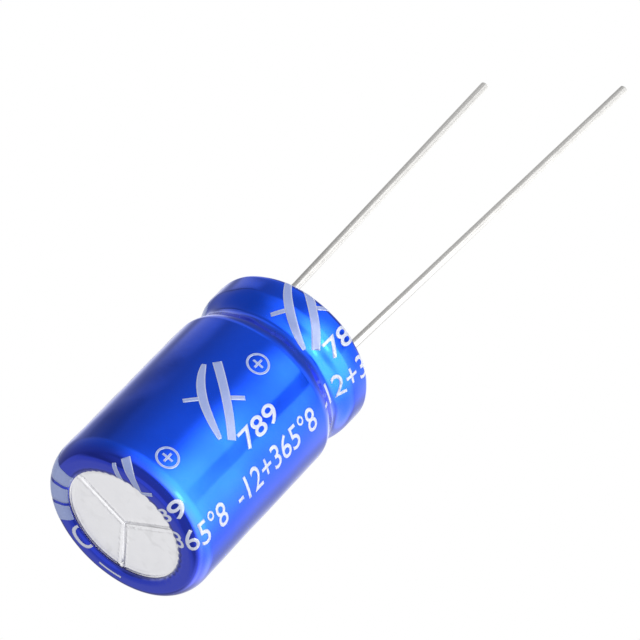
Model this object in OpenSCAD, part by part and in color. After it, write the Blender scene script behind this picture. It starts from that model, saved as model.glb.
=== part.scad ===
// Radial electrolytic capacitor: a wound element in a drawn can with a rubber
// bung and two wire leads, in a shrunk film sleeve. It stands on its flat vent
// end, with +Z along the body towards the leads and +X towards the positive,
// longer lead. The origin is the middle of the vent end.

/* [Body] */
// Diameter over the sleeve
body_d = 16; // [15:0.5:18]
// Length over the sleeve, without the leads
body_l = 25.5; // [22:0.5:40]
// Width of the rounded edge at the vent end
vent_edge_w = 1.1; // [0.9:0.1:1.4]
// Height of the rounded edge at the vent end
vent_edge_h = 1.9; // [1.2:0.1:2.4]
// Width of the rounded edge at the lead end
lead_edge_w = 1.7; // [1.2:0.1:1.9]
// Height of the rounded edge at the lead end
lead_edge_h = 0.95; // [0.8:0.05:1.2]

/* [Sleeve] */
// Thickness of the shrunk film
sleeve_wall = 0.15; // [0.1:0.01:0.2]
// Width of the sleeve's ring over the vent end, inside which the can is bare
vent_ring_w = 2.45; // [2.2:0.05:3]
// Width of the sleeve's ring over the lead end
lead_ring_w = 2; // [1.9:0.05:2.3]

/* [Can] */
// Wall of the drawn can
can_wall = 0.35; // [0.25:0.01:0.45]
// Thickness of the can's base behind the vent
can_base = 0.5; // [0.4:0.01:0.8]
// How far the bare middle of the base lies behind the standing ring
base_recess = 0.3; // [0.1:0.05:0.4]
// Radius of the inner corner of the can's base
base_corner = 0.8; // [0.4:0.1:1.2]
// Width of a score line of the vent
score_w = 0.5; // [0.3:0.05:0.7]
// Depth of a score line of the vent
score_depth = 0.22; // [0.1:0.01:0.3]
// How far each of the three score lines stops short of the sleeve's opening
score_margin = 0.25; // [0.1:0.05:2]
// Turn of the first score line from the positive lead, in degrees
score_turn = 88; // [0:1:119]
// Height from the lead end down to the middle of the bead
bead_below = 4.75; // [4:0.05:5.5]
// Depth of the bead that grips the bung
bead_depth = 0.7; // [0.4:0.05:0.9]
// Width of the bead along the body
bead_w = 4.6; // [3:0.1:5]
// Width of the can's curled rim, from the outside of the sleeve to its opening
rim_w = 2.3; // [2.3:0.05:2.8]
// Depth of the curl's lip, from the top of the can into the bung
lip_l = 0.7; // [0.6:0.05:0.9]

/* [Bung] */
// Thickness of the rubber bung between the leads
bung_l = 5.4; // [4.5:0.1:6.5]
// How far the bung's outer face lies below the lead end
bung_recess = 0.5; // [0.3:0.05:0.6]

/* [Leads] */
// Distance between the two leads
pitch = 7.5; // [6.5:0.25:8]
// Diameter of each lead wire
lead_d = 0.8; // [0.6:0.05:1]
// Height of the positive lead's tip above the lead end
anode_lead_l = 45.7; // [15:0.1:60]
// Height of the negative lead's tip above the lead end
cathode_lead_l = 37.6; // [15:0.1:60]
// Straight stretch of each lead above the lead end, before it leans out
lead_straight = 1.5; // [1:0.1:5]
// Outward lean of the positive lead, in degrees
anode_lean = 2.9; // [0.5:0.1:4]
// Outward lean of the negative lead, in degrees
cathode_lean = 0.9; // [0.5:0.1:4]

/* [Terminals] */
// Diameter of the round boss that seals in the bung
boss_d = 2; // [1.6:0.1:2.4]
// Thickness of the flattened tab
tab_t = 0.25; // [0.15:0.01:0.3]
// Length of the tab inside the winding
tab_l = 11; // [4:0.5:12]
// Height of the weld between boss and wire
weld_h = 0.7; // [0.5:0.05:0.9]
// How far the boss ends below the bung's outer face
boss_sink = 0.7; // [0.6:0.05:1.2]

/* [Winding] */
// Thickness of the etched anode foil
anode_t = 0.1; // [0.08:0.01:0.13]
// Thickness of the cathode foil
cathode_t = 0.05; // [0.03:0.01:0.08]
// Thickness of each separator paper
paper_t = 0.05; // [0.04:0.01:0.08]
// Thickness of the tape that holds the winding shut
tape_t = 0.06; // [0.04:0.01:0.1]
// Diameter of the hole that the winding spindle leaves
core_d = 3; // [2:0.1:3.5]
// Overhang of the papers beyond the foils at each end
paper_margin = 0.7; // [0.4:0.1:1.2]
// Clearance between the winding's tape and the can
winding_gap = 0.3; // [0.2:0.05:0.6]
// Free height between the winding and the bung
head_gap = 0.9; // [0.6:0.1:1.2]
// Clearance between the winding and the can's base
foot_gap = 0.1; // [0.05:0.05:0.3]

/* [Hidden] */
$fn = 96;

// Air left between pieces that are shrunk, pressed or slid together
fit_gap = 0.02;
// Air left between neighbouring layers of the winding
layer_gap = 0.01;
// How far a cut runs past the surface that it opens
overcut = 0.1;

body_r = body_d / 2;
vent_hole_r = body_r - vent_ring_w;
lead_hole_r = body_r - lead_ring_w;
rim_r = body_r - rim_w;
score_l = vent_hole_r - score_margin;
lead_r = lead_d / 2;
boss_r = boss_d / 2;
core_r = core_d / 2;
bead_z = body_l - bead_below;

// Depth of each surface below the outside of the sleeve
can_skin = sleeve_wall + fit_gap;
can_inside = can_skin + can_wall;
bung_skin = can_inside + fit_gap;

// Width of the slope from the standing ring to the bare middle of the base
recess_slope_w = 0.8;
// Outer radius of the curl's fold
curl_r = can_wall + 0.2;
// How much thicker a wire is at its bend, and how far its two runs stop short of it
bend_swell = 0.01;
bend_overlap = 0.05;
// Width that the tip of a lead loses to its cut edge
tip_bevel = 0.12;
// Width of the ledge that the weld leaves around the boss
weld_ledge = 0.3;
// How far the neck of a terminal reaches into its tab and its boss
neck_bite = 0.05;

base_face_z = can_skin + base_recess;
base_inside_z = base_face_z + can_base;
lip_z = body_l - can_skin - lip_l;
bung_top_z = body_l - bung_recess;
bung_foot_z = bung_top_z - bung_l;
boss_top_z = bung_top_z - boss_sink;
lead_foot_z = boss_top_z + weld_h;
bend_z = body_l + lead_straight;

winding_foot_z = base_inside_z + foot_gap;
winding_top_z = bung_foot_z - head_gap;

// Vertices of the winding in each turn, and the angle between two of them
turn_steps = 24;
step_deg = 360 / turn_steps;

// The four layers in their order from the core, and the pitch that they repeat at
inner_paper_at = 0;
anode_at = inner_paper_at + paper_t + layer_gap;
outer_paper_at = anode_at + anode_t + layer_gap;
cathode_at = outer_paper_at + paper_t + layer_gap;
layer_pitch = cathode_at + cathode_t + layer_gap;

// The winding fills the can, less its clearance, its tape and the bulge over a tab
tab_bulge = tab_t + layer_gap;
winding_r = body_r - can_inside - winding_gap;
turns = floor((winding_r - core_r - tape_t - tab_bulge) / layer_pitch) - 1;

// Side of the winding that each tab leaves from, in degrees from +X
anode_side = 0;
cathode_side = 180;

// Turn of the winding whose foil carries a tab, chosen so that it meets its boss
function tab_turn(side, foil_at, foil_t) =
    round((pitch / 2 - tab_t / 2 - core_r - foil_at - foil_t) / layer_pitch - side / 360);
anode_turn = tab_turn(anode_side, anode_at, anode_t);
cathode_turn = tab_turn(cathode_side, cathode_at, cathode_t);

// Points of an elliptical arc about a centre, from angle a0 to a1
function arc(centre, radii, a0, a1, n = 8) = [
    for (i = [0:n])
        let (a = a0 + (a1 - a0) * i / n)
        [centre[0] + radii[0] * cos(a), centre[1] + radii[1] * sin(a)]
];

function backwards(points) = [for (i = [len(points) - 1:-1:0]) points[i]];

// The body's profile, as [radius, height], on a surface t below the outside of the sleeve
function vent_edge(t) = arc(
    [body_r - vent_edge_w, vent_edge_h], [vent_edge_w - t, vent_edge_h - t], 270, 360
);
function vent_ring(t) = [
    [vent_hole_r, base_recess + t],
    [vent_hole_r + recess_slope_w, t]
];
function bead(t, from = -1) = [
    for (i = [0:16])
        let (u = from + (1 - from) * i / 16)
        [body_r - t - bead_depth * pow(cos(90 * u), 2), bead_z + u * bead_w / 2]
];
function lead_edge(t) = arc(
    [body_r - lead_edge_w, body_l - lead_edge_h], [lead_edge_w - t, lead_edge_h - t], 0, 90
);
function skin(t) = concat(vent_ring(t), vent_edge(t), bead(t), lead_edge(t));

module sleeve() {
    color("royalblue")
        rotate_extrude()
            polygon(concat(
                skin(0),
                [[lead_hole_r, body_l], [lead_hole_r, body_l - sleeve_wall]],
                backwards(skin(sleeve_wall))
            ));
}

// Inside of the can, from the middle of its base up to its curled rim
function can_inner_profile() = concat(
    [[0, base_inside_z]],
    arc([body_r - can_inside - base_corner, base_inside_z + base_corner],
        [base_corner, base_corner], 270, 360, 4),
    bead(can_inside),
    lead_edge(can_inside)
);

// The rim turns in over the bung and down into it
function curl(r) = arc([rim_r + curl_r, body_l - can_skin - curl_r], [r, r], 90, 180, 4);

module can_shell() {
    rotate_extrude()
        polygon(concat(
            [[0, base_face_z]],
            skin(can_skin),
            curl(curl_r),
            [[rim_r, lip_z], [rim_r + can_wall, lip_z]],
            backwards(curl(curl_r - can_wall)),
            backwards(can_inner_profile())
        ));
}

// One V-shaped score line from the middle of the vent outwards
module score_line() {
    overcut_w = score_w / 2 * (1 + overcut / score_depth);
    translate([0, 0, base_face_z])
        rotate([90, 0, 90])
            linear_extrude(score_l)
                polygon([[-overcut_w, -overcut], [overcut_w, -overcut], [0, score_depth]]);
}

module can() {
    color("gainsboro")
        difference() {
            can_shell();
            for (i = [0:2])
                rotate([0, 0, score_turn + 120 * i])
                    score_line();
        }
}

// The bung fills the mouth of the can: its side follows the bead and its top is
// held down by the curled rim, whose lip presses a ring into it
bung_foot_u = (bung_foot_z - bead_z) / (bead_w / 2);

module bung_blank() {
    rotate_extrude()
        polygon(concat(
            [[0, bung_foot_z]],
            bung_foot_u > -1 ? bead(bung_skin, bung_foot_u)
                             : concat([[body_r - bung_skin, bung_foot_z]], bead(bung_skin)),
            lead_edge(bung_skin),
            [
                [rim_r + curl_r, body_l - bung_skin],
                [rim_r + can_wall + fit_gap, body_l - bung_skin - curl_r + can_wall],
                [rim_r + can_wall + fit_gap, lip_z - fit_gap],
                [rim_r - fit_gap, lip_z - fit_gap],
                [rim_r - fit_gap, bung_top_z],
                [0, bung_top_z]
            ]
        ));
}

module bung() {
    color("dimgray")
        difference() {
            bung_blank();
            for (side = [-1, 1])
                translate([side * pitch / 2, 0, bung_foot_z - overcut])
                    cylinder(h = bung_l + 2 * overcut, r = boss_r + fit_gap);
        }
}

// Angle from a side of the winding, between -180 and 180 degrees
function from_side(angle, side) = angle - side - 360 * round((angle - side) / 360);

// How far a tab lifts the layers outside it: fully over the tab, and falling to
// nothing one vertex further on
function lift(angle, at, side, turn, tab_at) =
    let (n = round((angle - side) / 360))
    n > turn || (n == turn && at > tab_at)
        ? tab_bulge * max(0, min(1, 2 - abs(from_side(angle, side)) / step_deg))
        : 0;

// Radius of a winding surface that starts at the core radius plus at
function wound_r(angle, at) =
    core_r + layer_pitch * angle / 360 + at
    + lift(angle, at, anode_side, anode_turn, anode_at + anode_t)
    + lift(angle, at, cathode_side, cathode_turn, cathode_at + cathode_t);

function wound_line(at, i0, i1) = [
    for (i = [i0:i1])
        let (angle = i * step_deg)
        wound_r(angle, at) * [cos(angle), sin(angle)]
];

// A strip of the winding, from vertex i0 to i1 of the spiral
module strip(at, thickness, z0, z1, i0 = 0, i1 = turns * turn_steps) {
    translate([0, 0, z0])
        linear_extrude(z1 - z0)
            polygon(concat(wound_line(at, i0, i1), backwards(wound_line(at + thickness, i0, i1))));
}

module inner_paper() {
    color("burlywood")
        strip(inner_paper_at, paper_t, winding_foot_z, winding_top_z);
}

module anode_foil() {
    color("slategray")
        strip(anode_at, anode_t, winding_foot_z + paper_margin, winding_top_z - paper_margin);
}

module outer_paper() {
    color("tan")
        strip(outer_paper_at, paper_t, winding_foot_z, winding_top_z);
}

module cathode_foil() {
    color("lightgray")
        strip(cathode_at, cathode_t, winding_foot_z + paper_margin, winding_top_z - paper_margin);
}

// One turn of tape closes the winding; its ends stop short of the outer step
module winding_tape() {
    color("khaki")
        strip(layer_pitch, tape_t, winding_foot_z + paper_margin, winding_top_z - paper_margin,
            (turns - 1) * turn_steps + 1, turns * turn_steps - 1);
}

// Section of a tab between two depths of the winding, bent to lie on its foil
function tab_line(side, turn, at, half_deg) = [
    for (i = [-1:1])
        let (angle = side + i * half_deg)
        (core_r + layer_pitch * (turn + angle / 360) + at) * [cos(angle), sin(angle)]
];
function tab_section(side, turn, from, to, half_deg) =
    concat(tab_line(side, turn, from, half_deg), backwards(tab_line(side, turn, to, half_deg)));

// An aluminium terminal: a round boss in the bung, pressed flat below it into a tab
module terminal(side, turn, foil_top) {
    boss_foot_z = bung_foot_z - head_gap / 3;
    flat_top_z = winding_top_z + head_gap / 3;
    under = foil_top + layer_gap;
    translate([0, 0, winding_top_z - tab_l])
        linear_extrude(tab_l + flat_top_z - winding_top_z)
            polygon(tab_section(side, turn, under, under + tab_t, step_deg));
    hull() {
        translate([0, 0, flat_top_z - 2 * neck_bite])
            linear_extrude(neck_bite)
                polygon(tab_section(side, turn, under + neck_bite, under + tab_t - neck_bite,
                    step_deg - 1));
        translate([cos(side) * pitch / 2, 0, boss_foot_z + neck_bite])
            cylinder(h = neck_bite, r = boss_r - neck_bite, $fn = 32);
    }
    translate([cos(side) * pitch / 2, 0, boss_foot_z])
        cylinder(h = boss_top_z - boss_foot_z, r = boss_r);
}

module anode_tab() {
    color("silver")
        terminal(anode_side, anode_turn, anode_at + anode_t);
}

module cathode_tab() {
    color("silver")
        terminal(cathode_side, cathode_turn, cathode_at + cathode_t);
}

// A lead wire on the +X side: welded to its boss, straight out of the bung, then
// leaning outwards to its cut tip
module lead(tip_l, lean) {
    run_l = (body_l + tip_l - bend_z) / cos(lean);
    translate([pitch / 2, 0, 0]) {
        translate([0, 0, boss_top_z])
            cylinder(h = weld_h, r1 = boss_r - weld_ledge, r2 = lead_r);
        translate([0, 0, lead_foot_z])
            cylinder(h = bend_z - bend_overlap - lead_foot_z, r = lead_r);
        translate([0, 0, bend_z]) {
            sphere(lead_r + bend_swell);
            rotate([0, lean, 0])
                translate([0, 0, bend_overlap]) {
                    cylinder(h = run_l - bend_overlap - tip_bevel, r = lead_r);
                    translate([0, 0, run_l - bend_overlap - tip_bevel])
                        cylinder(h = tip_bevel, r1 = lead_r, r2 = lead_r - tip_bevel);
                }
        }
    }
}

module anode_lead() {
    color("whitesmoke")
        lead(anode_lead_l, anode_lean);
}

module cathode_lead() {
    color("whitesmoke")
        mirror([1, 0, 0])
            lead(cathode_lead_l, cathode_lean);
}

sleeve();
can();
bung();
inner_paper();
anode_foil();
outer_paper();
cathode_foil();
winding_tape();
anode_tab();
cathode_tab();
anode_lead();
cathode_lead();
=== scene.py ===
import math

import bmesh
import bpy
import numpy as np
from mathutils import Matrix, Quaternion, Vector


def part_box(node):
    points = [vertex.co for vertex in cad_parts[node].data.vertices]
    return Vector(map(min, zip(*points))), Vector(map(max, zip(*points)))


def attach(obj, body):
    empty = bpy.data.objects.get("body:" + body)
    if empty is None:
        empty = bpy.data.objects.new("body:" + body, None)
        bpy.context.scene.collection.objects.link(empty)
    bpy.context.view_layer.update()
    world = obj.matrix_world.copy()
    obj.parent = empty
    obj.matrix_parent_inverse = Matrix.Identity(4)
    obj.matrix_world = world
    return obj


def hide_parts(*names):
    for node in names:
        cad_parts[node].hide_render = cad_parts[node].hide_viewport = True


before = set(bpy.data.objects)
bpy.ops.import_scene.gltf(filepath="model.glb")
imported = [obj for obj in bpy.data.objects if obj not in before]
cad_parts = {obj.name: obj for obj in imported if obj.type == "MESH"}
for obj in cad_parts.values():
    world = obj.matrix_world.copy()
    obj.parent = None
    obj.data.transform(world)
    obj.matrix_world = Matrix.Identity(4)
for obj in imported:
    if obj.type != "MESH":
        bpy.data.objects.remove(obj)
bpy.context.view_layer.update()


# Camera. A long lens looks up at the vent end from below the part and from its -Y side,
# turned so that the body lies on the slant and the leads run to the upper right. Sizes are
# in millimetres up to the studio, and MM turns them to metres.
MM = 0.001
EYE = Vector((103.54, -254.79, -171.43)) * MM
AIM = Vector((0.01, 0, 29.41)) * MM
ROLL = math.radians(43.79)
LENS = 219.87
SENSOR = 36

camera_data = bpy.data.cameras.new("camera")
camera_data.lens = LENS
camera_data.sensor_width = SENSOR
camera = bpy.data.objects.new("camera", camera_data)
bpy.context.scene.collection.objects.link(camera)
bpy.context.scene.camera = camera
facing = (AIM - EYE).to_track_quat("-Z", "Y") @ Quaternion((0, 0, 1), ROLL)
camera.matrix_world = Matrix.Translation(EYE) @ facing.to_matrix().to_4x4()


# Winding. Two aluminium foils and two soaked kraft papers are rolled up together on a
# spindle, and one turn of polyester tape holds the roll shut inside the can.
PAPER_FIBRE = 0.25
FOIL_GRAIN = 0.08
TAPE_MOTTLE = 1.5


def linear(colour):
    """An sRGB hex colour as linear values: c / 12.92 up to 0.04045, ((c + 0.055) / 1.055) ** 2.4 above."""
    c = np.array([int(colour[i:i + 2], 16) for i in (1, 3, 5)]) / 255
    return (*np.where(c <= 0.04045, c / 12.92, ((c + 0.055) / 1.055) ** 2.4), 1)


def new_material(name, finish):
    """A material with a Principled shader. finish gives the values of the shader's sockets."""
    material = bpy.data.materials.new(name)
    material.use_nodes = True
    shader = material.node_tree.nodes["Principled BSDF"]
    for socket, value in finish.items():
        shader.inputs[socket].default_value = value
    return material, shader


def add_node(material, kind, values, links=None):
    """One more node. values sets options and inputs by name or number, links feeds inputs from outputs."""
    node = material.node_tree.nodes.new("ShaderNode" + kind)
    for key, value in values.items():
        if isinstance(key, int) or key in node.inputs:
            node.inputs[key].default_value = value
        else:
            setattr(node, key, value)
    for key, output in (links or {}).items():
        material.node_tree.links.new(output, node.inputs[key])
    return node


def feed(material, shader, **links):
    """Links outputs to the shader's sockets, whose names are written with _ for a space."""
    for socket, output in links.items():
        material.node_tree.links.new(output, shader.inputs[socket.replace("_", " ")])


def soaked_kraft_paper():
    """Kraft paper wet with electrolyte: brown, slightly shiny, with long fibres that run one way."""
    material, shader = new_material("soaked_kraft_paper", {"Roughness": 0.45, "IOR": 1.47})
    place = add_node(material, "TexCoord", {})
    along = add_node(material, "Mapping", {"Scale": (1, 1, 4)}, {"Vector": place.outputs["Object"]})
    fibre = add_node(material, "TexNoise", {"Scale": 1 / (PAPER_FIBRE * MM), "Detail": 6},
                     {"Vector": along.outputs[0]})
    tone = add_node(material, "Mix", {"data_type": "RGBA", 6: linear("#8A6B45"), 7: linear("#B4946A")},
                    {0: fibre.outputs[0]})
    bump = add_node(material, "Bump", {"Strength": 0.4, "Distance": 0.01 * MM},
                    {"Height": fibre.outputs[0]})
    feed(material, shader, Base_Color=tone.outputs[2], Normal=bump.outputs[0])
    return material


def etched_foil(name, dark, light, roughness):
    """Aluminium foil etched to a porous skin, which takes its shine and leaves a fine grey grain."""
    material, shader = new_material(name, {"Metallic": 1, "Roughness": roughness})
    place = add_node(material, "TexCoord", {})
    grain = add_node(material, "TexNoise", {"Scale": 1 / (FOIL_GRAIN * MM), "Detail": 3},
                     {"Vector": place.outputs["Object"]})
    tone = add_node(material, "Mix", {"data_type": "RGBA", 6: linear(dark), 7: linear(light)},
                    {0: grain.outputs[0]})
    bump = add_node(material, "Bump", {"Strength": 0.5, "Distance": 0.004 * MM},
                    {"Height": grain.outputs[0]})
    feed(material, shader, Base_Color=tone.outputs[2], Normal=bump.outputs[0])
    return material


def polyester_tape():
    """Clear polyester tape over brown paper: glossy, amber, and uneven where its glue has wet the paper."""
    material, shader = new_material("polyester_tape", {"Roughness": 0.18, "IOR": 1.6})
    place = add_node(material, "TexCoord", {})
    glue = add_node(material, "TexNoise", {"Scale": 1 / (TAPE_MOTTLE * MM), "Detail": 4},
                    {"Vector": place.outputs["Object"]})
    tone = add_node(material, "Mix", {"data_type": "RGBA", 6: linear("#B58E4A"), 7: linear("#D9BC7C")},
                    {0: glue.outputs[0]})
    bump = add_node(material, "Bump", {"Strength": 0.2, "Distance": 0.01 * MM},
                    {"Height": glue.outputs[0]})
    feed(material, shader, Base_Color=tone.outputs[2], Normal=bump.outputs[0])
    return material


def dress(node, material):
    """Gives a CAD node the material."""
    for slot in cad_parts[node].material_slots:
        slot.material = material


paper = soaked_kraft_paper()
dress("inner_paper", paper)
dress("outer_paper", paper)
dress("anode_foil", etched_foil("etched_anode_foil", "#6E7378", "#8C9196", 0.6))
dress("cathode_foil", etched_foil("etched_cathode_foil", "#A9ACB0", "#C4C7CA", 0.45))
dress("winding_tape", polyester_tape())


# Terminals. Each is a piece of aluminium rod, pressed flat below the bung into a tab that
# is staked to its foil, with a round boss above it that seals in the bung's hole.
PRESS_MARK = 0.35


def pressed_aluminium():
    """Cold-pressed aluminium: bright, with the faint dull marks of the press tool."""
    material, shader = new_material("pressed_aluminium", {"Metallic": 1})
    place = add_node(material, "TexCoord", {})
    mark = add_node(material, "TexNoise", {"Scale": 1 / (PRESS_MARK * MM), "Detail": 5},
                    {"Vector": place.outputs["Object"]})
    tone = add_node(material, "Mix", {"data_type": "RGBA", 6: linear("#C6C8CB"), 7: linear("#E0E2E4")},
                    {0: mark.outputs[0]})
    dull = add_node(material, "MapRange", {"To Min": 0.25, "To Max": 0.5}, {"Value": mark.outputs[0]})
    feed(material, shader, Base_Color=tone.outputs[2], Roughness=dull.outputs[0])
    return material


terminal = pressed_aluminium()
dress("anode_tab", terminal)
dress("cathode_tab", terminal)


# Leads. Copper-clad steel wire, plated with tin and drawn straight off the reel, is
# butt-welded to each boss. The longer one is the positive lead.
DRAW_LINE = 0.2
WIRE_SPOT = 1.2


def tinned_wire():
    """Tin plating with a light grey bloom, faint lines along the wire and soft dull spots."""
    material, shader = new_material("tinned_wire", {"Metallic": 1})
    place = add_node(material, "TexCoord", {})
    along = add_node(material, "Mapping", {"Scale": (1, 1, 0.02)}, {"Vector": place.outputs["Object"]})
    lines = add_node(material, "TexNoise", {"Scale": 1 / (DRAW_LINE * MM), "Detail": 1},
                     {"Vector": along.outputs[0]})
    spots = add_node(material, "TexNoise", {"Scale": 1 / (WIRE_SPOT * MM), "Detail": 3},
                     {"Vector": place.outputs["Object"]})
    tone = add_node(material, "Mix", {"data_type": "RGBA", 6: linear("#AAA9A7"), 7: linear("#B9B8B6")},
                    {0: spots.outputs[0]})
    dull = add_node(material, "MapRange", {"To Min": 0.2, "To Max": 0.3}, {"Value": spots.outputs[0]})
    bump = add_node(material, "Bump", {"Strength": 0.05, "Distance": 0.004 * MM},
                    {"Height": lines.outputs[0]})
    feed(material, shader, Base_Color=tone.outputs[2], Roughness=dull.outputs[0], Normal=bump.outputs[0])
    return material


wire = tinned_wire()
dress("anode_lead", wire)
dress("cathode_lead", wire)


# Bung. A moulded disc of butyl rubber fills the mouth of the can, squeezed by the bead
# and the curled rim, and its two holes grip the bosses.
RUBBER_SPECK = 0.12


def butyl_rubber():
    """Moulded rubber, dark and dull, with the fine specks of its filler."""
    material, shader = new_material("butyl_rubber", {"Roughness": 0.62, "IOR": 1.52})
    place = add_node(material, "TexCoord", {})
    speck = add_node(material, "TexNoise", {"Scale": 1 / (RUBBER_SPECK * MM), "Detail": 4},
                     {"Vector": place.outputs["Object"]})
    tone = add_node(material, "Mix", {"data_type": "RGBA", 6: linear("#232428"), 7: linear("#3B3D42")},
                    {0: speck.outputs[0]})
    bump = add_node(material, "Bump", {"Strength": 0.5, "Distance": 0.02 * MM},
                    {"Height": speck.outputs[0]})
    feed(material, shader, Base_Color=tone.outputs[2], Normal=bump.outputs[0])
    return material


dress("bung", butyl_rubber())


# Can. It is deep-drawn from aluminium sheet. Its base is set back and scored with three
# lines that tear open under pressure, and its rim is curled over the bung.
sleeve_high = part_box("sleeve")[1]
BODY_R = sleeve_high.x / MM
BODY_L = sleeve_high.z / MM
FILM_T = 0.15
CAN_DEPTH = 0.17
CAN_WALL = 0.35
CAN_INSIDE = CAN_DEPTH + CAN_WALL
VENT_HOLE_R = 5.55
BASE_RECESS = 0.3
BASE_WALL = 0.5
SLOPE_W = 0.8
SLOPE_CURVE = 2.5
VENT_EDGE = (1.1, 1.9)
LEAD_EDGE = (1.7, 0.95)
BEAD_Z = BODY_L - 4.75
BEAD_HALF = 2.3
BEAD_DEPTH = 0.7
RIM_R = 5.7
LIP_L = 0.7
CURL_R = CAN_WALL + 0.2
BASE_CORNER = 0.8
POLE_R = 0.03
STEPS = 480
SCORE_TURN = math.radians(88)
SCORE_W = 0.5
SCORE_DEPTH = 0.1
SLIT_W = 0.14
SLIT_DEPTH = 0.1
SCORE_L = VENT_HOLE_R - 0.25
SCORE_LIP_H = 0.018
SCORE_LIP_W = 0.12
CHATTER = (19, 7, 11)
CHATTER_IN_WIDTH = 0.25
CHATTER_IN_LIP = 1.4
DISH_DEPTH = 0.04
DISH_W = 0.4
SHEET_GRAIN = 0.09
SHEET_BLOTCH = 1.4
SMUDGE = 1.6


def ellipse_arc(centre, radii, start, end, count):
    """Points at centre + (radius x * cos a, radius y * sin a), for a from start to end in degrees."""
    a = np.radians(np.linspace(start, end, count))
    return np.column_stack([centre[0] + radii[0] * np.cos(a), centre[1] + radii[1] * np.sin(a)])


def smooth(t):
    """A step that leaves 0 and reaches 1 without a corner: 3 t^2 - 2 t^3, with t held to 0..1."""
    t = np.clip(t, 0, 1)
    return t * t * (3 - 2 * t)


def vent_ring(depth, count=14):
    """The slope from the opening out to the standing ring: its height is the recess times (1 - t)^curve."""
    t = np.linspace(0, 1, count)
    rise = depth + BASE_RECESS * (1 - t) ** SLOPE_CURVE
    return np.column_stack([VENT_HOLE_R + SLOPE_W * t, rise])


def vent_edge(depth, count=26):
    """A quarter of an ellipse from the standing ring up to the side."""
    centre = (BODY_R - VENT_EDGE[0], VENT_EDGE[1])
    return ellipse_arc(centre, (VENT_EDGE[0] - depth, VENT_EDGE[1] - depth), 270, 360, count)


def side(depth, count=12):
    """The straight side between the edge and the bead."""
    z = np.linspace(VENT_EDGE[1], BEAD_Z - BEAD_HALF, count + 2)[1:-1]
    return np.column_stack([np.full_like(z, BODY_R - depth), z])


def bead(depth, count=56):
    """The groove rolled into the side: its depth is the bead's times cos(90 u)^2, for u from -1 to 1."""
    u = np.linspace(-1, 1, count)
    groove = BEAD_DEPTH * np.cos(np.pi / 2 * u) ** 2
    return np.column_stack([BODY_R - depth - groove, BEAD_Z + BEAD_HALF * u])


def lead_edge(depth, count=20):
    """A quarter of an ellipse from the bead in over the lead end."""
    centre = (BODY_R - LEAD_EDGE[0], BODY_L - LEAD_EDGE[1])
    return ellipse_arc(centre, (LEAD_EDGE[0] - depth, LEAD_EDGE[1] - depth), 0, 90, count)


def body_profile(depth):
    """Radius and height along the whole body, on a surface that lies depth under the film's face."""
    return np.vstack([vent_ring(depth), vent_edge(depth), side(depth), bead(depth), lead_edge(depth)])


def around(profile, angles):
    """Turns a profile of radius and height: each point goes to (r cos a, r sin a, z) for each angle."""
    r, z = profile[:, :1], profile[:, 1:]
    return np.stack([r * np.cos(angles), r * np.sin(angles), z + 0 * angles], axis=-1)


def turned_mesh(name, rows, poles):
    """A closed mesh from rows (row, step, xyz) in millimetres. Quads join each ring of steps to the next.
    With poles, a point on the axis closes the first and the last ring. Without them, the last ring is
    joined to the first."""
    count, steps = rows.shape[:2]
    points = rows.reshape(-1, 3)
    i = np.arange(count - 1 if poles else count)[:, None]
    j = np.arange(steps)[None, :]
    below, above = i * steps, (i + 1) % count * steps
    after = (j + 1) % steps
    quads = np.stack([below + j, below + after, above + after, above + j], axis=-1)
    faces = quads.reshape(-1, 4).tolist()
    if poles:
        first, last = len(points), len(points) + 1
        points = np.vstack([points, rows[0].mean(0), rows[-1].mean(0)])
        top = (count - 1) * steps
        ring = np.arange(steps)
        turn = (ring + 1) % steps
        faces += np.column_stack([np.full(steps, first), turn, ring]).tolist()
        faces += np.column_stack([top + ring, top + turn, np.full(steps, last)]).tolist()
    mesh = bpy.data.meshes.new(name)
    mesh.from_pydata((points * MM).tolist(), [], faces)
    mesh.shade_smooth()
    return mesh


def new_piece(name, mesh, material, *nodes, slot):
    """Links a piece made of the mesh, which rides on the body and stands for the CAD nodes."""
    mesh.materials.append(material)
    piece = bpy.data.objects.new(name, mesh)
    bpy.context.scene.collection.objects.link(piece)
    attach(piece, "root")
    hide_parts(*nodes)
    return piece


def score_cut(x, y):
    """How far the scored base lies behind its face. Along three arms it is depth * (1 - |across| / half
    width), once for the shallow valley and once for the slit in it. Where it is 0 a lip stands out instead,
    height * exp(-(distance / lip width)^2) from the valley's side. The tool's chatter, a product of two
    sines along the arm with its waves in radians a millimetre, varies the valley's width and the lip."""
    cut = np.zeros_like(x)
    lip = np.zeros_like(x)
    fast, slow, second = CHATTER
    for arm in range(3):
        a = SCORE_TURN + arm * 2 * math.pi / 3
        along = x * math.cos(a) + y * math.sin(a)
        across = np.abs(-x * math.sin(a) + y * math.cos(a))
        away = np.hypot(across, np.maximum(np.maximum(-along, along - SCORE_L), 0))
        chatter = np.sin(along * fast + 3 * np.sin(along * slow + arm)) * np.sin(along * second + 2 * arm)
        half = SCORE_W / 2 * (1 + CHATTER_IN_WIDTH * chatter)
        valley = SCORE_DEPTH * np.clip(1 - away / half, 0, 1)
        slit = SLIT_DEPTH * np.clip(1 - away / (SLIT_W / 2), 0, 1)
        cut = np.maximum(cut, valley + slit)
        ridge = np.exp(-((away - half - SCORE_LIP_W / 2) / SCORE_LIP_W) ** 2)
        lip = np.maximum(lip, SCORE_LIP_H * ridge * (1 + CHATTER_IN_LIP * chatter))
    return np.where(cut > 0, cut, -lip)


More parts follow.
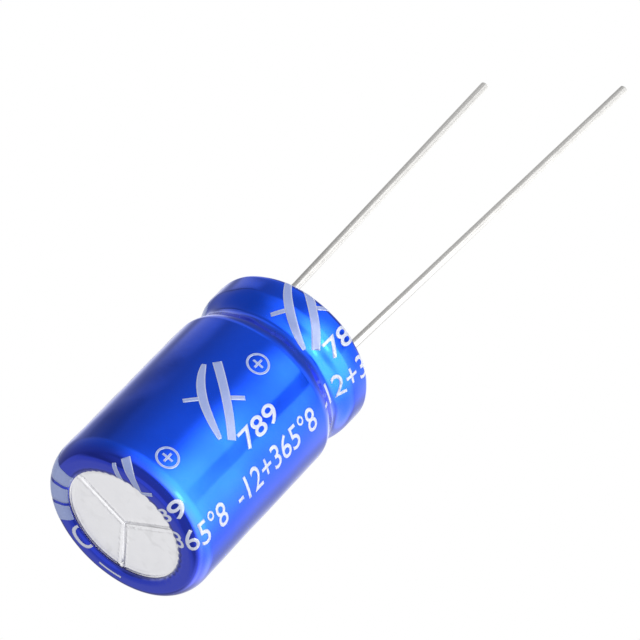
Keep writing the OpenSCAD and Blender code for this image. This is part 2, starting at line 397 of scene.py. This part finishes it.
def can_base_rows(angles):
    """The bare base: a shallow dish with a rounded rim, with the vent's score lines cut into it. Its rings
    are closer together where the lines meet and at the rim."""
    flat_r = VENT_HOLE_R - DISH_W
    radii = np.concatenate([np.linspace(POLE_R, 1, 16), np.linspace(1, flat_r, 40)[1:],
                            np.linspace(flat_r, VENT_HOLE_R, 9)[1:-1]])
    dish = DISH_DEPTH * (1 - smooth((radii - flat_r) / DISH_W))
    rows = around(np.column_stack([radii, CAN_DEPTH + BASE_RECESS + dish]), angles)
    rows[..., 2] += score_cut(rows[..., 0], rows[..., 1])
    return rows


def can_rim_and_inside():
    """From the curl over the bung, down its lip and back up, then down the inside to the inner base."""
    centre = (RIM_R + CURL_R, BODY_L - CAN_DEPTH - CURL_R)
    lip_z = BODY_L - CAN_DEPTH - LIP_L
    outer = ellipse_arc(centre, (CURL_R, CURL_R), 90, 180, 10)
    inner = ellipse_arc(centre, (CURL_R - CAN_WALL, CURL_R - CAN_WALL), 180, 90, 6)
    floor_z = CAN_DEPTH + BASE_RECESS + BASE_WALL
    corner = ellipse_arc((BODY_R - CAN_INSIDE - BASE_CORNER, floor_z + BASE_CORNER),
                         (BASE_CORNER, BASE_CORNER), 360, 270, 6)
    lip = np.array([[RIM_R, lip_z], [RIM_R + CAN_WALL, lip_z]])
    inside = np.vstack([lead_edge(CAN_INSIDE)[::-3], bead(CAN_INSIDE, 15)[::-1]])
    return np.vstack([outer, lip, inner, inside, corner, [[POLE_R, floor_z]]])


def satin_aluminium():
    """Drawn aluminium sheet, washed and dull: fine grain from rolling, faint blotches and small marks."""
    material, shader = new_material("satin_aluminium", {"Metallic": 1})
    place = add_node(material, "TexCoord", {})
    rolled = add_node(material, "Mapping", {"Scale": (1, 0.12, 1)}, {"Vector": place.outputs["Object"]})
    grain = add_node(material, "TexNoise", {"Scale": 1 / (SHEET_GRAIN * MM), "Detail": 3},
                     {"Vector": rolled.outputs[0]})
    blotch = add_node(material, "TexNoise",
                      {"Scale": 1 / (SHEET_BLOTCH * MM), "Detail": 5, "Roughness": 0.6},
                      {"Vector": place.outputs["Object"]})
    tone = add_node(material, "Mix", {"data_type": "RGBA", 6: linear("#E0E0E4"), 7: linear("#EFEFF2")},
                    {0: blotch.outputs[0]})
    smudge = add_node(material, "TexNoise", {"Scale": 1 / (SMUDGE * MM), "Detail": 2, "Distortion": 0.6},
                      {"Vector": place.outputs["Object"]})
    soiled = add_node(material, "MapRange", {"From Min": 0.6, "From Max": 0.74, "To Max": 0.2},
                      {"Value": smudge.outputs[0]})
    tone = add_node(material, "Mix", {"data_type": "RGBA", 7: linear("#B4B4B6")},
                    {0: soiled.outputs[0], 6: tone.outputs[2]})
    dull = add_node(material, "MapRange", {"To Min": 0.24, "To Max": 0.36}, {"Value": blotch.outputs[0]})
    bump = add_node(material, "Bump", {"Strength": 0.2, "Distance": 0.006 * MM},
                    {"Height": grain.outputs[0]})
    feed(material, shader, Base_Color=tone.outputs[2], Roughness=dull.outputs[0], Normal=bump.outputs[0])
    return material


turn_angles = SCORE_TURN + np.linspace(0, 2 * math.pi, STEPS, endpoint=False)
can_outline = np.vstack([body_profile(CAN_DEPTH)[::2], can_rim_and_inside()])
can_rows = np.concatenate([can_base_rows(turn_angles), around(can_outline, turn_angles)])
can_mesh = turned_mesh("aluminium_can", can_rows, poles=True)
new_piece("aluminium_can", can_mesh, satin_aluminium(), "can", slot="can_aluminium")


# Sleeve. A tube of blue heat-shrink film is pulled over the can and shrunk with hot air,
# so it follows the bead, turns in over both ends and puckers round the vent's opening.
PUCKERS = 43
PUCKER_H = 0.09
PUCKER_REACH = 0.2
SCALLOP = 0.15
SCALLOP_REACH = 0.5
SLACK_TURN = 0.75
# Reach of the painted white highlight round the vent's opening.
PAINTED_HIGHLIGHT_REACH = 0.14
FILM_WAVES = ((2, 19, 0.02, 0.4), (3, 11, 0.018, 2.1), (5, 7.5, 0.014, 4.0), (9, 5.2, 0.007, 1.0),
              (13, 2.7, 0.006, 3.3))
WAVE_START = 2.5
WAVE_FULL = 5
BULGE_WAVES = 1.5
BULGE_S = 24
FOLD = 0.045
FOLD_S = 24.95
FOLD_REACH = 0.5
FINE_S = 1.6
# Heights over which the film's blue is painted darker and more violet towards the vent end, as painted
# shade.
SHADE_FROM_Z = 1.7
SHADE_FULL_Z = 0.2
FILM_MOTTLE = 2.5
FILM_PEEL = 0.7

face = body_profile(0)
face_steps = np.hypot(*np.diff(face, axis=0).T)
face = face[np.concatenate([[True], face_steps > 1e-6])]
face_s = np.concatenate([[0], np.cumsum(np.hypot(*np.diff(face, axis=0).T))])
tangent = np.gradient(face, face_s, axis=0)
tangent /= np.linalg.norm(tangent, axis=1, keepdims=True)
FILM_L = face_s[-1]


def slack(angle):
    """How loose the film is round the opening: ((1 + cos(a + turn)) / 2)^2, so one side is tight."""
    return ((1 + np.cos(angle + SLACK_TURN)) / 2) ** 2


def ripple(angle):
    """The uneven ripple round the opening that puckers and scallops follow: sin(count a + 2 sin 3a)."""
    return np.sin(PUCKERS * angle + 2 * np.sin(3 * angle))


def drawn_back(angle, s):
    """Arc length once the film has drawn back from the opening: s + depth * (1 + ripple) / 2 * slack *
    exp(-s / reach)."""
    scallop = 0.5 + 0.5 * ripple(angle)
    return s + SCALLOP * scallop * slack(angle) * np.exp(-s / SCALLOP_REACH)


def film_point(angle, s, lift):
    """Where the film is at an angle and an arc length s from the vent's opening, lift outside its face.
    The face moves out by slow waves, each height * sin(lobes a + phase) * cos(2 pi s / length + phase)
    and larger on the bulge past the bead, by puckers at the opening, height * slack * exp(-s / reach) *
    ripple, and in by a fold on the bulge, depth * slack * exp(-((s - place) / reach)^2)."""
    wave = sum(height * np.sin(lobes * angle + phase) * np.cos(2 * math.pi * s / length + phase)
               for lobes, length, height, phase in FILM_WAVES)
    wave = wave * smooth((s - WAVE_START) / (WAVE_FULL - WAVE_START))
    wave = wave * (1 + BULGE_WAVES * np.exp(-((s - BULGE_S) / BEAD_HALF) ** 2))
    pucker = PUCKER_H * slack(angle) * np.exp(-s / PUCKER_REACH) * ripple(angle)
    fold = -FOLD * slack(angle) * np.exp(-((s - FOLD_S) / FOLD_REACH) ** 2)
    out = lift + wave + fold + pucker
    s = drawn_back(angle, s)
    r, z = (np.interp(s, face_s, face[:, k]) for k in (0, 1))
    tr, tz = (np.interp(s, face_s, tangent[:, k]) for k in (0, 1))
    r, z = r + tz * out, z - tr * out
    return np.stack([r * np.cos(angle), r * np.sin(angle), z], axis=-1)


def film_rows(angles):
    """The film's closed section at each angle: its face, a half-round edge at the lead end, its inner face
    and a half-round edge at the vent's opening. Also a painted highlight round the opening, slack *
    exp(-(s / reach)^2) from it, so brightest on the loose side, and where it is cut edge or inner face,
    which show no metal and are painted dull navy, partly as painted shade: 1 there and 0 on its face."""
    half = FILM_T / 2
    s = np.concatenate([np.linspace(half, FINE_S, 16), face_s[face_s > FINE_S + 0.05][:-1]])[:, None]
    outer = film_point(angles, s, 0)
    bend = np.radians(np.linspace(0, 180, 6))[1:-1, None]
    along, out = half * np.sin(bend), half * np.cos(bend) - half
    lead_lip = film_point(angles, FILM_L - half + along + 0 * angles, out)
    inner = around(body_profile(FILM_T)[::-2], angles)
    vent_lip = film_point(angles, half - along[::-1] + 0 * angles, out[::-1])
    # A painted highlight near the opening, brightest on the loose side.
    white = np.exp(-((s - half) / PAINTED_HIGHLIGHT_REACH) ** 2) * slack(angles)
    no_highlight = np.zeros((len(lead_lip) + len(inner), len(angles)))
    white = np.concatenate([white, no_highlight, np.ones((len(vent_lip), 1)) * slack(angles)])
    cut = np.ones_like(white)
    cut[:len(s)] = 0
    return np.concatenate([outer, lead_lip, inner, vent_lip]), white, cut


def blue_shrink_film():
    """Blue-dyed shrink film tight on bright aluminium: light passes it and comes back off the metal as deep
    metallic blue, and its own face adds a thin clear gloss. Towards the vent end the blue is painted darker
    and more violet, as painted shade. Its cut edges and inner face are dull and show no metal, and they are
    painted a darker navy as painted shade. Round the opening a painted white highlight, brightest on the
    loose side, takes the place of the metal."""
    material, shader = new_material("blue_shrink_film", {
        "Coat Weight": 0.15, "Coat Roughness": 0.04, "Coat IOR": 1.5})
    place = add_node(material, "TexCoord", {})
    mottle = add_node(material, "TexNoise", {"Scale": 1 / (FILM_MOTTLE * MM), "Detail": 4},
                      {"Vector": place.outputs["Object"]})
    blue = add_node(material, "Mix", {"data_type": "RGBA", 6: linear("#0743D0"), 7: linear("#094ADE")},
                    {0: mottle.outputs[0]})
    # Painted shade: the blue turns darker and more violet from 1.7 mm down to 0.2 mm above the vent end.
    height = add_node(material, "SeparateXYZ", {}, {0: place.outputs["Object"]})
    vent_end_shade = add_node(material, "MapRange", {
        "From Min": SHADE_FROM_Z * MM, "From Max": SHADE_FULL_Z * MM, "interpolation_type": "SMOOTHSTEP"},
                      {"Value": height.outputs["Z"]})
    tone = add_node(material, "Mix", {"data_type": "RGBA", 7: linear("#2133AC")},
                    {0: vent_end_shade.outputs[0], 6: blue.outputs[2]})
    peel = add_node(material, "TexNoise", {"Scale": 1 / (FILM_PEEL * MM), "Detail": 2},
                    {"Vector": place.outputs["Object"]})
    bump = add_node(material, "Bump", {"Strength": 0.12, "Distance": 0.02 * MM},
                    {"Height": peel.outputs[0]})
    # Partly painted shade: the cut edges and the inner face are painted a darker navy than the film, and
    # with no metal behind them they are not metallic.
    cut = add_node(material, "Attribute", {"attribute_name": "cut"})
    tone = add_node(material, "Mix", {"data_type": "RGBA", 7: linear("#1B2190")},
                    {0: cut.outputs["Fac"], 6: tone.outputs[2]})
    # Painted highlight: round the opening the film is painted near white, brightest on its loose side, and
    # is not metallic there.
    white = add_node(material, "Attribute", {"attribute_name": "white"})
    tone = add_node(material, "Mix", {"data_type": "RGBA", 7: linear("#DCE1F8")},
                    {0: white.outputs["Fac"], 6: tone.outputs[2]})
    highlight_and_cut_edge = add_node(material, "Math", {"operation": "MAXIMUM"},
                         {0: white.outputs["Fac"], 1: cut.outputs["Fac"]})
    bare = add_node(material, "MapRange", {"To Min": 0.95, "To Max": 0.1}, {"Value": highlight_and_cut_edge.outputs[0]})
    dull = add_node(material, "MapRange", {"To Min": 0.14, "To Max": 0.6}, {"Value": cut.outputs["Fac"]})
    feed(material, shader, Base_Color=tone.outputs[2], Metallic=bare.outputs[0], Roughness=dull.outputs[0],
         Normal=bump.outputs[0])
    return material


rows, white, cut = film_rows(turn_angles)
film_mesh = turned_mesh("shrink_film", rows, poles=False)
film_mesh.attributes.new("white", "FLOAT", "POINT").data.foreach_set("value", white.ravel())
film_mesh.attributes.new("cut", "FLOAT", "POINT").data.foreach_set("value", cut.ravel())
new_piece("shrink_film", film_mesh, blue_shrink_film(), "sleeve", slot="sleeve_film")


# Print. Pale ink is printed on the film before it shrinks: a capacitor symbol, a plus in
# a ring and rows of plain numbers, repeated along the tube, and the negative stripe.
REPEAT = 13
PRINT_START = 0.1
PRINT_END = FILM_L - 0.1
INK_LIFT = 0.014
INK_T = 0.01
INK_EDGE = 0.12
INK_CORE = 0.3
PLATE_BOW = 0.9
PLATE_TIP = 0.35
PLUS_REACH = 0.55
CELL_S = 0.22
CELL_W = 0.4
GRAIN_OF_INK = 0.15


def round_the_body(degrees):
    """Millimetres round the body at an angle, measured the way that the print's letters stand."""
    return -math.radians(degrees) * BODY_R


def stroke(print_mesh, points, widths):
    """Adds a line of ink: at each point two sides lie half a width off along the normal of the path, and
    two inner lines an edge's width in from them, which the ink's light edge follows."""
    points = np.asarray(points, float)
    path = np.gradient(points, axis=0)
    path /= np.linalg.norm(path, axis=1, keepdims=True)
    normal = np.column_stack([-path[:, 1], path[:, 0]])
    half = np.broadcast_to(np.asarray(widths, float) / 2, len(points))
    core = np.maximum(half - INK_EDGE, INK_CORE * half)
    offsets = np.column_stack([-half, -core, core, half])
    grid = points[:, None] + normal[:, None] * offsets[..., None]
    edge_layer = print_mesh.verts.layers.float["edge"]
    corners = [[print_mesh.verts.new((*xy, 0)) for xy in row] for row in grid]
    for row in corners:
        for corner, level in zip(row, (1, 0, 0, 1)):
            corner[edge_layer] = level
    for row, following in zip(corners, corners[1:]):
        for k in range(3):
            print_mesh.faces.new([row[k], row[k + 1], following[k + 1], following[k]][::-1])


def numbers(print_mesh, words, s_range, foot, top, weight):
    """Adds a row of plain numbers, stretched to run over s_range and to stand from foot to top."""
    curve = bpy.data.curves.new("numbers", "FONT")
    curve.body = words
    curve.offset = weight
    curve.resolution_u = 6
    text = bpy.data.objects.new("numbers", curve)
    flat = bpy.data.meshes.new_from_object(text)
    corners = np.zeros(len(flat.vertices) * 3)
    flat.vertices.foreach_get("co", corners)
    corners = corners.reshape(-1, 3)
    low, high = corners.min(0), corners.max(0)
    stretch = np.array([s_range[1] - s_range[0], top - foot]) / (high - low)[:2]
    corners[:, :2] = (corners[:, :2] - low[:2]) * stretch + (s_range[0], foot)
    flat.vertices.foreach_set("co", corners.ravel())
    before = len(print_mesh.verts)
    print_mesh.from_mesh(flat)
    print_mesh.verts.ensure_lookup_table()
    edge_layer = print_mesh.verts.layers.float["edge"]
    for corner in print_mesh.verts[before:]:
        corner[edge_layer] = 1
    bpy.data.objects.remove(text)
    bpy.data.curves.remove(curve)
    bpy.data.meshes.remove(flat)


def capacitor_symbol(print_mesh, middle, lean, plate_l, gap, lead_l, width):
    """Adds a straight plate, a curved plate and a lead half as wide from each, leaning from the row's
    direction. For t from -1 to 1 along it, the curved plate comes nearer to the straight one by
    bow * t^2, and its width is multiplied by tip + (1 - tip) * sqrt(1 - 0.97 t^2)."""
    along = np.array([math.cos(lean), math.sin(lean)])
    across = np.array([along[1], -along[0]])
    t = np.linspace(-1, 1, 40)[:, None]
    taper = width * (PLATE_TIP + (1 - PLATE_TIP) * np.sqrt(1 - 0.97 * t[:, 0] ** 2))
    straight = middle + across * gap / 2 + along * t * plate_l / 2
    curved = middle - across * (gap / 2 - PLATE_BOW * t ** 2) + along * t * plate_l / 2
    stroke(print_mesh, straight, width)
    stroke(print_mesh, curved, taper)
    reach = np.linspace(0, lead_l, 8)[:, None]
    stroke(print_mesh, middle + across * (gap / 2 + width / 2 + reach), width / 2)
    stroke(print_mesh, middle - across * (gap / 2 + width / 2 + reach), width / 2)


def plus_in_ring(print_mesh, middle, ring_r, width):
    """Adds a plain plus inside a ring."""
    a = np.linspace(0, 2 * math.pi, 49)[:, None]
    stroke(print_mesh, middle + ring_r * np.hstack([np.cos(a), np.sin(a)]), width)
    t = np.linspace(-1, 1, 7)[:, None] * ring_r * PLUS_REACH
    stroke(print_mesh, middle + np.hstack([t, 0 * t]), width)
    stroke(print_mesh, middle + np.hstack([0 * t, t]), width)


def stripe(print_mesh, s_range, w_range, windows):
    """Adds a bar of ink along the body, left bare in the windows (s from, s to, w from, w to). It is cut
    into rectangles at the sides of the windows."""
    s_lines = sorted({*s_range, *(w[k] for w in windows for k in (0, 1))})
    w_lines = sorted({*w_range, *(w[k] for w in windows for k in (2, 3))})
    corners = {(s, w): print_mesh.verts.new((s, w, 0)) for s in s_lines for w in w_lines}
    for s0, s1 in zip(s_lines, s_lines[1:]):
        for w0, w1 in zip(w_lines, w_lines[1:]):
            bare = any(a <= s0 and s1 <= b and c <= w0 and w1 <= d for a, b, c, d in windows)
            if not bare:
                print_mesh.faces.new([corners[s0, w0], corners[s1, w0], corners[s1, w1], corners[s0, w1]])


def lay_on_film(name, print_mesh, material):
    """Cuts the flat print at the film's ends and into small cells, lays each point (s, w) on the film at
    the angle -w / body radius, and gives the ink its thickness."""
    for s, keep_above in ((PRINT_START, True), (PRINT_END, False)):
        everything = print_mesh.verts[:] + print_mesh.edges[:] + print_mesh.faces[:]
        bmesh.ops.bisect_plane(print_mesh, geom=everything, plane_co=(s, 0, 0), plane_no=(1, 0, 0),
                               clear_inner=keep_above, clear_outer=not keep_above)
    loose = [v for v in print_mesh.verts if not v.link_faces]
    bmesh.ops.delete(print_mesh, geom=loose, context="VERTS")
    span = np.array([v.co[1] for v in print_mesh.verts])
    cuts = [((s, 0, 0), (1, 0, 0)) for s in np.arange(PRINT_START + CELL_S, PRINT_END, CELL_S)]
    cuts += [((0, w, 0), (0, 1, 0)) for w in np.arange(span.min() + CELL_W, span.max(), CELL_W)]
    for place, normal in cuts:
        everything = print_mesh.verts[:] + print_mesh.edges[:] + print_mesh.faces[:]
        bmesh.ops.bisect_plane(print_mesh, geom=everything, plane_co=place, plane_no=normal)
    bmesh.ops.triangulate(print_mesh, faces=print_mesh.faces[:])
    mesh = bpy.data.meshes.new(name)
    print_mesh.to_mesh(mesh)
    print_mesh.free()
    flat = np.zeros(len(mesh.vertices) * 3)
    mesh.vertices.foreach_get("co", flat)
    s, w = flat.reshape(-1, 3)[:, 0], flat.reshape(-1, 3)[:, 1]
    mesh.vertices.foreach_set("co", (film_point(-w / BODY_R, s, INK_LIFT) * MM).ravel())
    mesh.update()
    mesh.shade_smooth()
    piece = new_piece(name, mesh, material, slot="sleeve_film")
    solid = piece.modifiers.new("ink_thickness", "SOLIDIFY")
    solid.thickness = INK_T * MM
    solid.offset = -1


def new_print():
    """An empty flat print, whose points carry how near they are to the edge of their stroke."""
    print_mesh = bmesh.new()
    print_mesh.verts.layers.float.new("edge")
    return print_mesh


def printing_ink(name, fill, rim):
    """Pale screen ink: thin enough in broad fields that the blue greys it, thicker and lighter at its
    edges."""
    material, shader = new_material(name, {"Roughness": 0.4, "IOR": 1.5, "Coat Weight": 0.3,
                                           "Coat Roughness": 0.08})
    place = add_node(material, "TexCoord", {})
    speck = add_node(material, "TexNoise", {"Scale": 1 / (GRAIN_OF_INK * MM), "Detail": 3},
                     {"Vector": place.outputs["Object"]})
    edge = add_node(material, "Attribute", {"attribute_name": "edge"})
    thin = add_node(material, "Mix", {"data_type": "RGBA", 6: linear(fill[0]), 7: linear(fill[1])},
                    {0: speck.outputs[0]})
    tone = add_node(material, "Mix", {"data_type": "RGBA", 7: linear(rim)},
                    {0: edge.outputs["Fac"], 6: thin.outputs[2]})
    feed(material, shader, Base_Color=tone.outputs[2])
    return material


ink = printing_ink("pale_printing_ink", ("#98ABE8", "#AEBEF4"), "#E4EAFF")

# Each row's words, its start and end along the body, the angles of its foot and top, and its weight.
NUMBER_ROWS = (
    ("789", (11.2, 16), (-44, -56.6), 0.012),
    ("-12+365°8", (8, 19.4), (-18.7, -35.7), 0.006),
    ("7890", (-8.6, 1.15), (-218, -242), -0.008),
    ("2341", (-8.6, 1.05), (-253, -275), -0.03),
)
symbols = new_print()
rows_of_numbers = new_print()
for shift in (-REPEAT, 0, REPEAT, 2 * REPEAT):
    capacitor_symbol(symbols, np.array([12.4 + shift, round_the_body(-81)]), lean=math.radians(47),
                     plate_l=7.6, gap=2, lead_l=1.3, width=0.8)
    plus_in_ring(symbols, np.array([17.9 + shift, round_the_body(-76.5)]), ring_r=0.95, width=0.2)
    for words, (start, end), (foot, top), weight in NUMBER_ROWS:
        numbers(rows_of_numbers, words, (start + shift, end + shift), round_the_body(foot),
                round_the_body(top), weight)
lay_on_film("symbol_print", symbols, ink)
lay_on_film("number_print", rows_of_numbers, ink)

MINUS_L = 2.4
MINUS_W = 0.7
MINUS_START = 5.3
MINUS_CLEAR = 4
minus_w = round_the_body(174.5)
minus_signs = [(s, s + MINUS_L, minus_w - MINUS_W / 2, minus_w + MINUS_W / 2)
               for s in np.arange(MINUS_START, FILM_L - MINUS_CLEAR, REPEAT / 2)]
polarity = new_print()
for sides, windows in (((163, 148), []), ((183, 166), minus_signs), ((203, 186.5), [])):
    stripe(polarity, (PRINT_START, PRINT_END), [round_the_body(turn) for turn in sides], windows)
lay_on_film("polarity_stripe", polarity, ink)


# Studio. A white room, four lamps for the dull pieces, and a dome of soft panels that the
# glossy pieces mirror, bright low on the right and dim on the left. None of it is part of the
# object. Its sizes are in metres, apart from the floor's height and the centre.
ROOM_WHITE = (1, 1, 1, 1)
AMBIENT = 0.5
FLOOR_SIZE = 2
FLOOR_NEAR = 0.04
FLOOR_FAR = 0.9
FLOOR_LIT = 0.5
DOME_STEP = 1.5
FLOOR_Z = -0.03 * MM
CENTRE = Vector((0, 0, 13)) * MM


def direction(azimuth, elevation):
    """A unit vector from the part, azimuth degrees from +X and elevation degrees above the floor."""
    a, e = math.radians(azimuth), math.radians(elevation)
    return Vector((math.cos(a) * math.cos(e), math.sin(a) * math.cos(e), math.sin(e)))


def softbox(name, azimuth, elevation, distance, size, radiance):
    """A rectangular lamp that faces the part. Its power is radiance * pi * its area."""
    lamp = bpy.data.lights.new(name, "AREA")
    lamp.shape = "RECTANGLE"
    lamp.size, lamp.size_y = size
    lamp.energy = radiance * math.pi * size[0] * size[1]
    placed = bpy.data.objects.new(name, lamp)
    bpy.context.scene.collection.objects.link(placed)
    towards = direction(azimuth, elevation)
    turned = towards.to_track_quat("Z", "Y").to_matrix().to_4x4()
    placed.matrix_world = Matrix.Translation(CENTRE + towards * distance) @ turned
    placed.visible_glossy = False


def panel_edge(angle, edges):
    """0 before the first edge, rising smoothly to 1 at the second, and falling from the third to 0 at the
    last."""
    rise = smooth((angle - edges[0]) / (edges[1] - edges[0]))
    fall = smooth((edges[3] - angle) / (edges[3] - edges[2]))
    return rise * fall


def reflection_dome(name, radius, room, panels):
    """A dome that only reflections see. At each point its level is the room's, and each panel adds its own
    level * edge(azimuth) * edge(elevation), down to half the room's at least."""
    azimuth, elevation = np.meshgrid(np.arange(0, 360, DOME_STEP),
                                     np.arange(DOME_STEP - 90, 90 - DOME_STEP / 2, DOME_STEP))
    levels = np.full(azimuth.shape, room)
    for azimuths, elevations, level in panels:
        middle = (azimuths[0] + azimuths[3]) / 2
        turned = (azimuth - middle + 180) % 360 - 180 + middle
        levels += level * panel_edge(turned, azimuths) * panel_edge(elevation, elevations)
    levels = np.maximum(levels, room / 2)
    a, e = np.radians(azimuth), np.radians(elevation)
    towards = np.stack([np.cos(a) * np.cos(e), np.sin(a) * np.cos(e), np.sin(e)], -1)
    mesh = turned_mesh(name, np.array(CENTRE) / MM + towards * radius / MM, poles=True)
    levels = np.append(levels, [levels[0].mean(), levels[-1].mean()])
    mesh.attributes.new("level", "FLOAT", "POINT").data.foreach_set("value", levels)
    mesh.materials.append(lit_card())
    dome = bpy.data.objects.new(name, mesh)
    bpy.context.scene.collection.objects.link(dome)
    dome.visible_camera = False
    dome.visible_diffuse = False
    dome.visible_transmission = False
    dome.visible_shadow = False


def lit_card():
    """A card lit evenly enough to be drawn as its own light, as bright as its level. A dull surface gets
    only the room's light from it by way of a mirror, so the sleeve throws no glare on the floor."""
    material = bpy.data.materials.new("lit_card")
    material.use_nodes = True
    material.node_tree.nodes.clear()
    level = add_node(material, "Attribute", {"attribute_name": "level"})
    path = add_node(material, "LightPath", {})
    after_dull = add_node(material, "Math", {"operation": "MINIMUM", 1: 1},
                          {0: path.outputs["Diffuse Depth"]})
    strength = add_node(material, "Mix", {"data_type": "FLOAT", 3: AMBIENT},
                        {0: after_dull.outputs[0], 2: level.outputs["Fac"]})
    glow = add_node(material, "Emission", {"Color": ROOM_WHITE}, {"Strength": strength.outputs[0]})
    add_node(material, "OutputMaterial", {}, {"Surface": glow.outputs[0]})
    material.cycles.emission_sampling = "NONE"
    return material


def floor_material():
    """A pale floor: near the part half its white is its own and half comes from the lamps, so it keeps the
    part's shadow, and further out more of it is its own, so that it runs into the white behind it. From
    below it isn't there, so that the camera sees the vent end."""
    material = bpy.data.materials.new("studio_floor")
    material.use_nodes = True
    material.node_tree.nodes.clear()
    glow = add_node(material, "Emission", {"Color": ROOM_WHITE, "Strength": 1})
    paint = add_node(material, "BsdfDiffuse", {"Color": (0.8, 0.8, 0.8, 1)})
    place = add_node(material, "TexCoord", {})
    distance = add_node(material, "VectorMath", {"operation": "LENGTH"}, {0: place.outputs["Object"]})
    lit_share = add_node(material, "MapRange", {
        "From Min": FLOOR_NEAR, "From Max": FLOOR_FAR, "To Min": FLOOR_LIT, "To Max": 0,
        "interpolation_type": "SMOOTHSTEP"}, {"Value": distance.outputs["Value"]})
    white = add_node(material, "MixShader", {},
                     {0: lit_share.outputs[0], 1: glow.outputs[0], 2: paint.outputs[0]})
    clear = add_node(material, "BsdfTransparent", {})
    side_seen = add_node(material, "NewGeometry", {})
    one_sided = add_node(material, "MixShader", {},
                         {0: side_seen.outputs["Backfacing"], 1: white.outputs[0], 2: clear.outputs[0]})
    add_node(material, "OutputMaterial", {}, {"Surface": one_sided.outputs[0]})
    material.cycles.emission_sampling = "NONE"
    return material


floor_mesh = bpy.data.meshes.new("floor")
reach = FLOOR_SIZE / 2
floor_mesh.from_pydata([(-reach, -reach, FLOOR_Z), (reach, -reach, FLOOR_Z), (reach, reach, FLOOR_Z),
                        (-reach, reach, FLOOR_Z)], [], [(0, 1, 2, 3)])
floor_mesh.materials.append(floor_material())
floor = bpy.data.objects.new("floor", floor_mesh)
bpy.context.scene.collection.objects.link(floor)
floor.visible_diffuse = False
floor.visible_glossy = False
floor.visible_transmission = False
floor.visible_shadow = False

world = bpy.data.worlds.new("studio")
bpy.context.scene.world = world
world.use_nodes = True
world.cycles.sampling_method = "NONE"
background = world.node_tree.nodes["Background"]
background.inputs["Color"].default_value = ROOM_WHITE
path = add_node(world, "LightPath", {})
seen = add_node(world, "Math", {"operation": "MAXIMUM"},
                {0: path.outputs["Is Camera Ray"], 1: path.outputs["Is Glossy Ray"]})
seen = add_node(world, "Math", {"operation": "MAXIMUM"},
                {0: seen.outputs[0], 1: path.outputs["Is Transmission Ray"]})
level = add_node(world, "MapRange", {"To Min": AMBIENT, "To Max": 1}, {"Value": seen.outputs[0]})
world.node_tree.links.new(level.outputs[0], background.inputs["Strength"])

softbox("key_softbox", -50, 15, 0.4, (0.25, 0.25), 2.2)
softbox("side_softbox", 10, 35, 0.4, (0.2, 0.25), 1.5)
softbox("left_softbox", 175, 30, 0.5, (0.3, 0.3), 0.6)
softbox("low_softbox", -110, -45, 0.5, (0.3, 0.3), 1.0)

# Each panel has four edges in azimuth and four in elevation, in degrees, and its level.
reflection_dome("panel_dome", 0.3, 0.4, (
    # Bright cards on the right, and dimmer ones that lead over to the dark left
    ((-96, -50, -20, 40), (-20, -4, 27, 39), 6),
    ((-150, -80, 50, 95), (-22, -6, 18, 33), 2.2),
    ((-100, -55, 30, 95), (24, 38, 46, 74), 1.3),
    ((-170, -105, -80, -40), (10, 30, 60, 80), 0.35),
    ((0, 20, 35, 70), (20, 34, 50, 70), 0.5),
    ((62, 104, 130, 154), (6, 24, 60, 80), 0.6),
    ((-130, -60, 30, 90), (45, 60, 80, 95), 0.15),
    # The gap between two cards, which the side shows as a dark line, and a small bright lamp
    ((-42.5, -40.5, -24, -22), (28, 30, 37, 41), -2.15),
    ((-54, -49, -41, -36), (-4, 0, 7, 11), 9),
    # Cards above the body's height, which the leads mirror
    ((105, 150, 240, 285), (38, 43, 50, 56), 0.55),
    ((45, 62, 98, 108), (38, 43, 50, 56), 0.9),
    # The dark left: a light band over a darker one, and a faint card under both
    ((155, 168, 194, 210), (33, 34.5, 37, 39), 0.45),
    ((155, 168, 194, 210), (29, 30.5, 31.5, 33.5), -0.2),
    ((150, 165, 212, 232), (-30, -12, 24, 29), 0.12),
    # Low cards, which the edge of the vent end mirrors, and the light ground that its face mirrors
    ((-5, 20, 60, 100), (-36, -18, -6, 4), 1.2),
    ((-170, -120, 20, 60), (-75, -62, -28, -18), 0.32),
    ((35, 65, 160, 185), (-80, -62, -27, -22), 0.58),
    ((70, 76, 92, 98), (-48, -44, -36, -32), 0.15),
    ((85, 95, 140, 165), (-22, -16, 8, 20), 0.12),
    ((-181, -180, 180, 181), (-95, -90, -74, -64), 0.9),
))

bpy.context.scene.view_settings.view_transform = "Standard"
